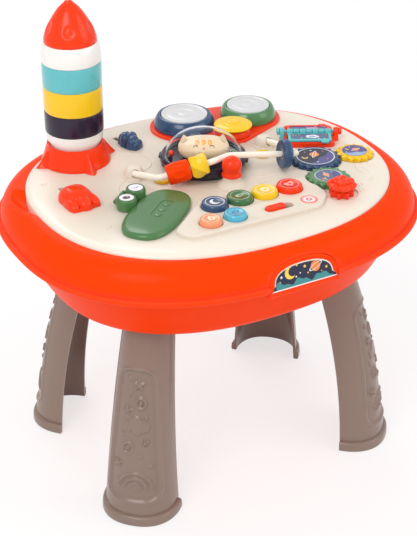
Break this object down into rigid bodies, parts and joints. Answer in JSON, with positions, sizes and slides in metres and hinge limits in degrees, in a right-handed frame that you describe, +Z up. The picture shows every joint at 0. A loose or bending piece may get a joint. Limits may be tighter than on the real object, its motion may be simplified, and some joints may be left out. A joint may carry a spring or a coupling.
{
  "type": "activity table",
  "caption": "Toddler activity table: a basin on channel legs, closed by a lift-off panel with a stacking rocket, drums, gears, a bead rail, a spinning saucer and buttons.",
  "frame": {"origin": "on the floor under the middle of the table", "axes": "+Z up, +X to the right as seen from the side of the front bezel, +Y to the back"},
  "size_m": [0.459, 0.39, 0.5149],
  "materials": {
    "tub_plastic": "moulded orange-red plastic",
    "red_plastic": "moulded red plastic",
    "cream_plastic": "satin cream plastic",
    "white_plastic": "white plastic",
    "taupe_plastic": "satin grey-brown plastic",
    "teal_plastic": "teal plastic",
    "yellow_plastic": "yellow plastic",
    "purple_plastic": "dark purple plastic",
    "navy_plastic": "dark blue plastic",
    "green_plastic": "green plastic",
    "salmon_plastic": "salmon plastic",
    "light_blue_plastic": "light blue plastic",
    "pad_plastic": "pearly pale grey plastic",
    "clear_plastic": "clear plastic",
    "board_laminate": "green circuit laminate",
    "zinc_steel": "plated steel"
  },
  "bodies": {
    "stand": {"tub": "tub_plastic", "rim_ring": "tub_plastic", "front_bezel": "tub_plastic", "leg_front_left": "taupe_plastic", "leg_front_right": "taupe_plastic", "leg_back_left": "taupe_plastic", "leg_back_right": "taupe_plastic"},
    "panel": {"panel": "cream_plastic", "panel_base": "cream_plastic", "battery_cell_1": "zinc_steel", "battery_cell_2": "zinc_steel", "battery_cell_3": "zinc_steel", "speaker": "zinc_steel", "circuit_board": "board_laminate", "lens_left": "yellow_plastic", "lens_right": "yellow_plastic", "rocket_base": "red_plastic", "drum_plate": "red_plastic", "drum_blue_shell": "navy_plastic", "drum_green_shell": "green_plastic", "cymbal_stand": "red_plastic", "flip_tray": "red_plastic", "flip_rod": "teal_plastic", "bead_rail": "cream_plastic"},
    "battery_door": {"battery_door": "cream_plastic"},
    "bottom_cup": {"rocket_bottom_cup": "white_plastic"},
    "purple_ring": {"ring_purple": "purple_plastic"},
    "yellow_ring": {"ring_yellow": "yellow_plastic"},
    "teal_ring": {"ring_teal": "teal_plastic"},
    "top_cup": {"rocket_top_cup": "white_plastic"},
    "nose_cone": {"nose_cone": "red_plastic"},
    "red_slider": {"red_slider": "red_plastic"},
    "blue_slider": {"blue_slider": "navy_plastic"},
    "blue_pad": {"drum_blue_pad": "pad_plastic"},
    "green_pad": {"drum_green_pad": "pad_plastic"},
    "cymbal": {"cymbal": "yellow_plastic"},
    "teal_page": {"flip_page_teal": "teal_plastic"},
    "red_page": {"flip_page_red": "red_plastic"},
    "blue_gear": {"gear_blue": "navy_plastic"},
    "yellow_gear": {"gear_yellow": "yellow_plastic"},
    "green_gear": {"gear_green": "green_plastic"},
    "red_knob": {"gear_knob_red": "red_plastic"},
    "orange_bead": {"bead_orange": "red_plastic"},
    "yellow_bead": {"bead_yellow": "yellow_plastic"},
    "blue_bead": {"bead_blue": "navy_plastic"},
    "saucer": {"saucer_ring": "purple_plastic", "saucer_dome": "clear_plastic", "cat_figure": "cream_plastic"},
    "stick_gimbal": {"joystick_gimbal": "cream_plastic"},
    "joystick": {"joystick": "red_plastic"},
    "frog_lid": {"frog_lid": "green_plastic", "frog_eyes": "green_plastic"},
    "blue_button": {"button_blue": "navy_plastic"},
    "green_button": {"button_green": "green_plastic"},
    "yellow_button": {"button_yellow": "yellow_plastic"},
    "red_button": {"button_red": "red_plastic"},
    "salmon_button": {"button_salmon": "salmon_plastic"},
    "light_blue_button": {"button_light_blue": "light_blue_plastic"},
    "switch": {"slide_switch": "red_plastic"}
  },
  "joints": [
    {"name": "panel_lift", "type": "slide", "parent": "stand", "child": "panel", "axis": [0, 0, 1], "range_m": [0, 0.06]},
    {"name": "battery_door_drop", "type": "slide", "parent": "panel", "child": "battery_door", "axis": [0, 0, -1], "range_m": [0, 0.025]},
    {"name": "bottom_cup_lift", "type": "slide", "parent": "panel", "child": "bottom_cup", "axis": [0, 0, 1], "range_m": [0, 0.03]},
    {"name": "purple_ring_lift", "type": "slide", "parent": "bottom_cup", "child": "purple_ring", "axis": [0, 0, 1], "range_m": [0, 0.03]},
    {"name": "yellow_ring_lift", "type": "slide", "parent": "purple_ring", "child": "yellow_ring", "axis": [0, 0, 1], "range_m": [0, 0.03]},
    {"name": "teal_ring_lift", "type": "slide", "parent": "yellow_ring", "child": "teal_ring", "axis": [0, 0, 1], "range_m": [0, 0.03]},
    {"name": "top_cup_lift", "type": "slide", "parent": "teal_ring", "child": "top_cup", "axis": [0, 0, 1], "range_m": [0, 0.03]},
    {"name": "nose_cone_lift", "type": "slide", "parent": "top_cup", "child": "nose_cone", "axis": [0, 0, 1], "range_m": [0, 0.03]},
    {"name": "red_slider_slide", "type": "slide", "parent": "panel", "child": "red_slider", "axis": [-0.0698, 0.9976, 0], "range_m": [0, 0.026]},
    {"name": "blue_slider_slide", "type": "slide", "parent": "panel", "child": "blue_slider", "axis": [-0.2756, 0.9613, 0], "range_m": [0, 0.02]},
    {"name": "blue_pad_press", "type": "slide", "parent": "panel", "child": "blue_pad", "axis": [0, 0, -1], "range_m": [0, 0.002], "stiffness_N_per_m": 350, "springref_m": -0.0015},
    {"name": "green_pad_press", "type": "slide", "parent": "panel", "child": "green_pad", "axis": [0, 0, -1], "range_m": [0, 0.002], "stiffness_N_per_m": 350, "springref_m": -0.0015},
    {"name": "cymbal_spin", "type": "hinge", "parent": "panel", "child": "cymbal", "pos_m": [0.0715, 0.0715, 0.345], "axis": [0, 0, 1], "continuous": true},
    {"name": "teal_page_turn", "type": "hinge", "parent": "panel", "child": "teal_page", "pos_m": [0.14184, 0.02074, 0.3417], "axis": [-0.8829, 0.4695, 0], "range_deg": [0, 168]},
    {"name": "red_page_turn", "type": "hinge", "parent": "panel", "child": "red_page", "pos_m": [0.14184, 0.02074, 0.3417], "axis": [0.8829, -0.4695, 0], "range_deg": [0, 168]},
    {"name": "blue_gear_spin", "type": "hinge", "parent": "panel", "child": "blue_gear", "pos_m": [0.1195, -0.028, 0.33], "axis": [0, 0, 1], "continuous": true},
    {"name": "yellow_gear_spin", "type": "hinge", "parent": "panel", "child": "yellow_gear", "pos_m": [0.16544, -0.03693, 0.33], "axis": [0, 0, 1], "continuous": true},
    {"name": "green_gear_spin", "type": "hinge", "parent": "panel", "child": "green_gear", "pos_m": [0.10511, -0.07567, 0.33], "axis": [0, 0, 1], "continuous": true},
    {"name": "red_knob_spin", "type": "hinge", "parent": "panel", "child": "red_knob", "pos_m": [0.09943, -0.11, 0.33], "axis": [0, 0, 1], "continuous": true},
    {"name": "orange_bead_slide", "type": "slide", "parent": "panel", "child": "orange_bead", "axis": [0.9293, -0.289, 0.2299], "range_m": [-0.0025, 0.0005]},
    {"name": "yellow_bead_spin", "type": "hinge", "parent": "panel", "child": "yellow_bead", "pos_m": [-0.02343, -0.02051, 0.35423], "axis": [0.9293, -0.289, 0.2299], "continuous": true},
    {"name": "blue_bead_slide", "type": "slide", "parent": "panel", "child": "blue_bead", "axis": [0.9738, -0.1923, -0.1211], "range_m": [-0.028, 0.004]},
    {"name": "saucer_spin", "type": "hinge", "parent": "panel", "child": "saucer", "pos_m": [0.0065, 0.0235, 0.335], "axis": [0, 0, 1], "continuous": true},
    {"name": "joystick_front_back", "type": "hinge", "parent": "panel", "child": "stick_gimbal", "pos_m": [0.0076, -0.0365, 0.341], "axis": [1, 0, 0], "range_deg": [-4, 12], "stiffness_Nm_per_rad": 0.08},
    {"name": "joystick_left_right", "type": "hinge", "parent": "stick_gimbal", "child": "joystick", "pos_m": [0.0076, -0.0365, 0.341], "axis": [0, 1, 0], "range_deg": [-10, 10], "stiffness_Nm_per_rad": 0.08},
    {"name": "frog_lid_open", "type": "hinge", "parent": "panel", "child": "frog_lid", "pos_m": [-0.11432, -0.01333, 0.3363], "axis": [-0.7547, -0.6561, 0], "range_deg": [0, 95]},
    {"name": "blue_button_press", "type": "slide", "parent": "panel", "child": "blue_button", "axis": [0, 0, -1], "range_m": [0, 0.0025], "stiffness_N_per_m": 350, "springref_m": -0.0015},
    {"name": "green_button_press", "type": "slide", "parent": "panel", "child": "green_button", "axis": [0, 0, -1], "range_m": [0, 0.0025], "stiffness_N_per_m": 350, "springref_m": -0.0015},
    {"name": "yellow_button_press", "type": "slide", "parent": "panel", "child": "yellow_button", "axis": [0, 0, -1], "range_m": [0, 0.0025], "stiffness_N_per_m": 350, "springref_m": -0.0015},
    {"name": "red_button_press", "type": "slide", "parent": "panel", "child": "red_button", "axis": [0, 0, -1], "range_m": [0, 0.0025], "stiffness_N_per_m": 350, "springref_m": -0.0015},
    {"name": "salmon_button_press", "type": "slide", "parent": "panel", "child": "salmon_button", "axis": [0, 0, -1], "range_m": [0, 0.0025], "stiffness_N_per_m": 350, "springref_m": -0.0015},
    {"name": "light_blue_button_press", "type": "slide", "parent": "panel", "child": "light_blue_button", "axis": [0, 0, -1], "range_m": [0, 0.0025], "stiffness_N_per_m": 350, "springref_m": -0.0015},
    {"name": "switch_slide", "type": "slide", "parent": "panel", "child": "switch", "axis": [1, 0, 0], "range_m": [0, 0.0085]}
  ],
  "couplings": [
    {"joint": "yellow_gear_spin", "follows": "blue_gear_spin", "ratio": -1.3846},
    {"joint": "green_gear_spin", "follows": "blue_gear_spin", "ratio": -1.2},
    {"joint": "red_knob_spin", "follows": "blue_gear_spin", "ratio": 2.25}
  ]
}
